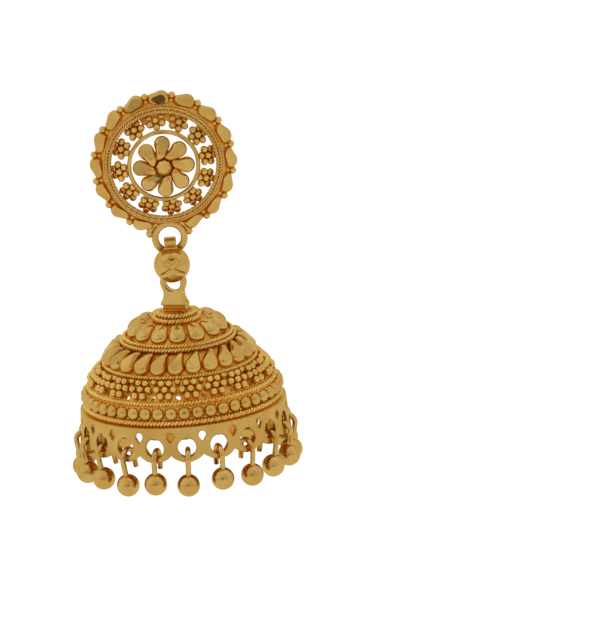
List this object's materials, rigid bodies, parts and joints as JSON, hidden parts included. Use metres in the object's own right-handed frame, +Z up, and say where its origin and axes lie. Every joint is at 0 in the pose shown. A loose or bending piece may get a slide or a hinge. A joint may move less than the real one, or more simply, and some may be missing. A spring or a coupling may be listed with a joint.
{
  "type": "jhumka earring",
  "caption": "Bell-shaped drop earring in polished gold colour: a pierced round stud with a post, a swinging beaded link, and a ribbed bell with ball dangles round its rim.",
  "frame": {"origin": "middle of the stud's back face, where it sits on the ear lobe", "axes": "+Z up, -Y the front of the stud, +Y along the ear post through the lobe, +X to the right seen from the front"},
  "size_m": [0.0284, 0.0284, 0.0477],
  "materials": {
    "gold": "polished gold plate"
  },
  "bodies": {
    "stud": {"rosette": "gold", "ear_post": "gold"},
    "link": {"link": "gold"},
    "drop": {"bell": "gold", "dangle_01": "gold", "dangle_02": "gold", "dangle_03": "gold", "dangle_04": "gold", "dangle_05": "gold", "dangle_06": "gold", "dangle_07": "gold", "dangle_08": "gold", "dangle_09": "gold", "dangle_10": "gold", "dangle_11": "gold", "dangle_12": "gold", "dangle_13": "gold", "dangle_14": "gold", "dangle_15": "gold", "dangle_16": "gold", "dangle_17": "gold", "dangle_18": "gold", "dangle_19": "gold", "dangle_20": "gold"}
  },
  "joints": [
    {"name": "link_swing", "type": "hinge", "parent": "stud", "child": "link", "pos_m": [0, -0.0008, -0.00943], "axis": [0, 1, 0], "range_deg": [-40, 40]},
    {"name": "drop_swing", "type": "hinge", "parent": "link", "child": "drop", "pos_m": [0, -0.0008, -0.01375], "axis": [0.9397, -0.342, 0], "range_deg": [-25, 60]}
  ]
}
